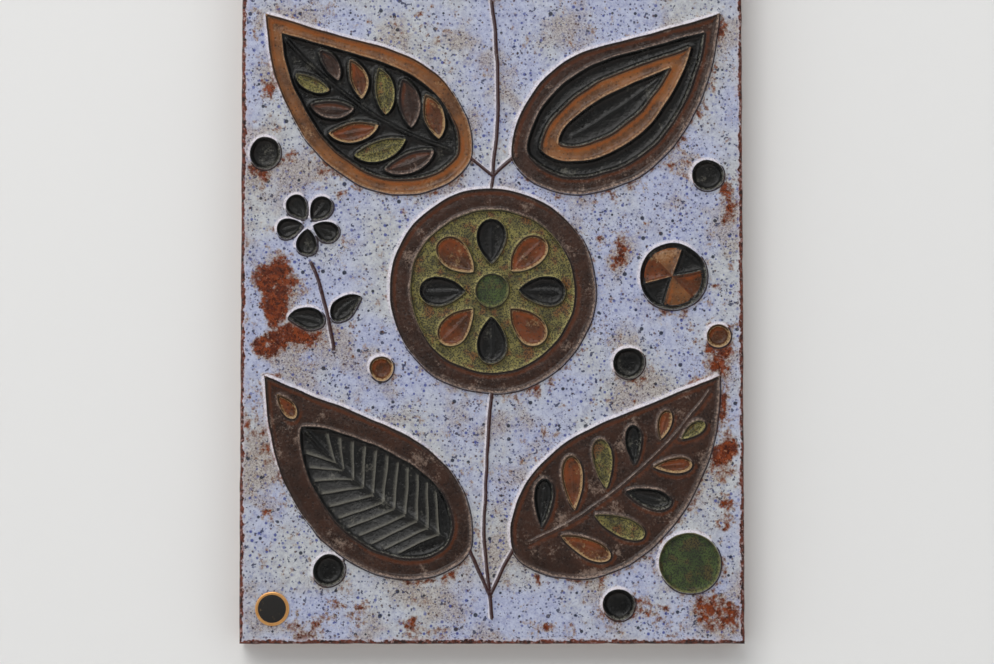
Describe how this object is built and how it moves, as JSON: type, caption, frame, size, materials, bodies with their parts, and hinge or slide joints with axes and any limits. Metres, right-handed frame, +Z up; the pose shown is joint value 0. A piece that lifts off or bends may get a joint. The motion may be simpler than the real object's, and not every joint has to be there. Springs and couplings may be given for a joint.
{
  "type": "decorative wall plaque",
  "caption": "Tall glazed stoneware wall plaque with a moulded relief of leaves and flowers, hollow behind, with a lug and a nail hole to hang it by.",
  "frame": {"origin": "on the flat back of the hanging lug, 12 mm below the top edge, midway across, where the plaque bears against the wall", "axes": "+Y into the wall, +Z up, +X to the right as one looks at the relief, which faces -Y"},
  "size_m": [0.22, 0.0197, 0.4],
  "materials": {
    "glazed_stoneware": "mottled blue ground glaze with brown, black, rust and olive glazes in the relief, glossy",
    "foil_sticker": "gold and black foil"
  },
  "bodies": {
    "root": {"plaque": "glazed_stoneware", "sticker": "foil_sticker"}
  },
  "joints": []
}
